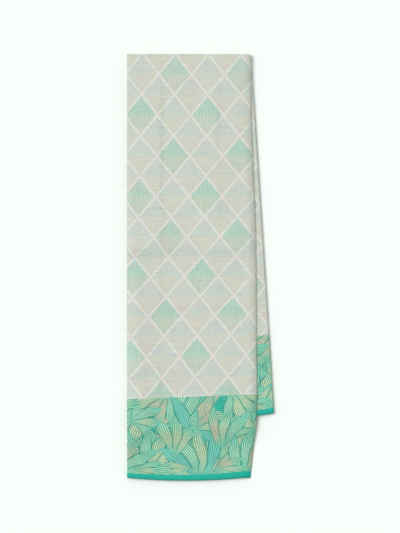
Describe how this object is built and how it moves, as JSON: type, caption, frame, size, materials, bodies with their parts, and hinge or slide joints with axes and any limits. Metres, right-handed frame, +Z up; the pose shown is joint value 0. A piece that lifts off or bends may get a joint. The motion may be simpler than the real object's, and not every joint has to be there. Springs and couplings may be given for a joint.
{
  "type": "folded silk saree",
  "caption": "Silk saree pleated into a narrow strip and folded over once, lying flat, with a lattice print, a leaf border and a plain coloured edge.",
  "frame": {"origin": "middle of the footprint, on the surface that the folded cloth lies on", "axes": "+Y along the strip towards the fold at its top, +X to the right of someone looking at the front drop with that fold away from them, +Z up"},
  "size_m": [0.2134, 0.62, 0.0149],
  "materials": {
    "body_silk": "printed silk, soft sheen",
    "border_silk": "printed silk, soft sheen",
    "edge_silk": "plain woven silk, soft sheen"
  },
  "bodies": {
    "root": {"hidden_layers": "body_silk", "front_edge": "edge_silk", "front_border": "border_silk", "front_body": "body_silk", "top_fold": "body_silk", "under_body": "body_silk", "under_border": "border_silk", "under_edge": "edge_silk", "back_edge": "edge_silk", "back_border": "border_silk", "back_body": "body_silk"}
  },
  "joints": []
}
